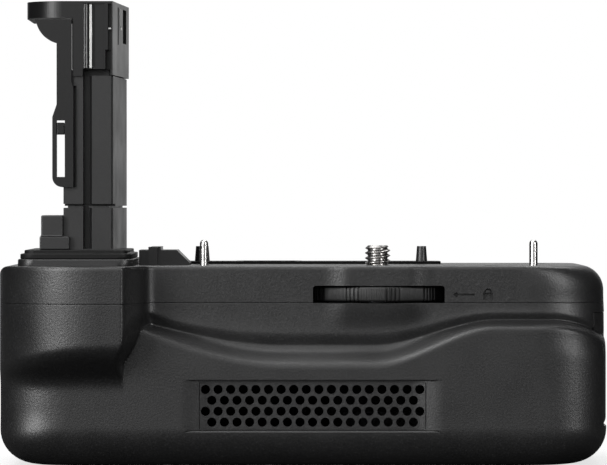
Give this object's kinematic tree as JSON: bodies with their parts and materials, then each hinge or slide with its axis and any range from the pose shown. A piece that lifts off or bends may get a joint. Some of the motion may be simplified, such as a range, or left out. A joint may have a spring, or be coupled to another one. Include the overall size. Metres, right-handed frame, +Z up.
{
  "type": "camera battery grip",
  "caption": "Camera battery grip with a plug-in contact stalk, lock wheel and attachment screw, perforated air intake with a blower, and a battery bay behind a side door.",
  "frame": {"origin": "middle of the bounding box at the base", "axes": "+X to the viewer's right along the length, -Y towards the viewer (front with the grille and wheel), +Z up"},
  "size_m": [0.1482, 0.07, 0.1131],
  "materials": {
    "case_plastic": "fine matte grain",
    "stalk_plastic": "satin",
    "dark_plastic": "satin",
    "wheel_plastic": "matte",
    "white_plastic": "satin",
    "seal_rubber": "matte",
    "bright_steel": "turned",
    "dark_steel": "blackened",
    "brass": "turned",
    "copper": "enamelled winding",
    "contact_metal": "plated",
    "flex_film": "film",
    "board_green": "lacquered"
  },
  "bodies": {
    "case": {"lower_case": "case_plastic", "upper_case": "case_plastic", "intake_grille": "case_plastic", "bearing_bush": "brass", "bridge_plate": "bright_steel", "bridge_screws": "bright_steel", "guide_pins": "bright_steel", "duct_plate": "dark_plastic", "duct_gasket": "seal_rubber", "locating_pegs": "dark_plastic", "locating_block": "dark_plastic", "stalk_boss": "stalk_plastic", "stalk_seal": "seal_rubber", "stalk_pedestal": "stalk_plastic", "stalk_column": "stalk_plastic", "door_holder": "stalk_plastic", "contact_housing": "dark_plastic", "stalk_contacts": "contact_metal", "switch_key": "stalk_plastic", "stalk_flex": "flex_film", "control_board": "board_green", "board_parts": "dark_plastic", "board_screws": "bright_steel", "tripod_socket": "bright_steel", "socket_plate": "bright_steel", "case_screws": "dark_steel", "top_screws": "dark_steel", "fan_housing": "dark_plastic", "fan_cover": "dark_plastic", "fan_bearing": "brass", "fan_stator": "copper", "air_duct": "dark_plastic", "battery_bay": "stalk_plastic", "contact_block": "dark_plastic", "battery_contacts": "contact_metal", "eject_spring": "bright_steel", "hinge_pin": "bright_steel"},
    "lock": {"lock_wheel": "wheel_plastic", "attachment_screw": "bright_steel", "wheel_pin": "bright_steel", "retaining_clip": "bright_steel", "thrust_washer": "white_plastic"},
    "fan": {"impeller": "dark_plastic", "rotor_magnet": "dark_steel", "fan_shaft": "bright_steel"},
    "door": {"battery_door": "case_plastic", "door_pad": "seal_rubber"},
    "latch": {"latch_slider": "wheel_plastic"},
    "catch": {"holder_slider": "stalk_plastic"}
  },
  "joints": [
    {"name": "lock_turn", "type": "hinge", "parent": "case", "child": "lock", "pos_m": [0.0183, -0.0025, 0.0488], "axis": [0, 0, 1], "continuous": true},
    {"name": "fan_spin", "type": "hinge", "parent": "case", "child": "fan", "pos_m": [-0.0177, 0.018, 0.0194], "axis": [0, 1, 0], "continuous": true},
    {"name": "door_swing", "type": "hinge", "parent": "case", "child": "door", "pos_m": [0.0718, 0.0056, 0.012], "axis": [0, 1, 0], "range_deg": [0, 90]},
    {"name": "latch_slide", "type": "slide", "parent": "door", "child": "latch", "axis": [0, 0, 1], "range_m": [0, 0.002]},
    {"name": "catch_slide", "type": "slide", "parent": "case", "child": "catch", "axis": [0, 0, -1], "range_m": [0, 0.0096]}
  ]
}
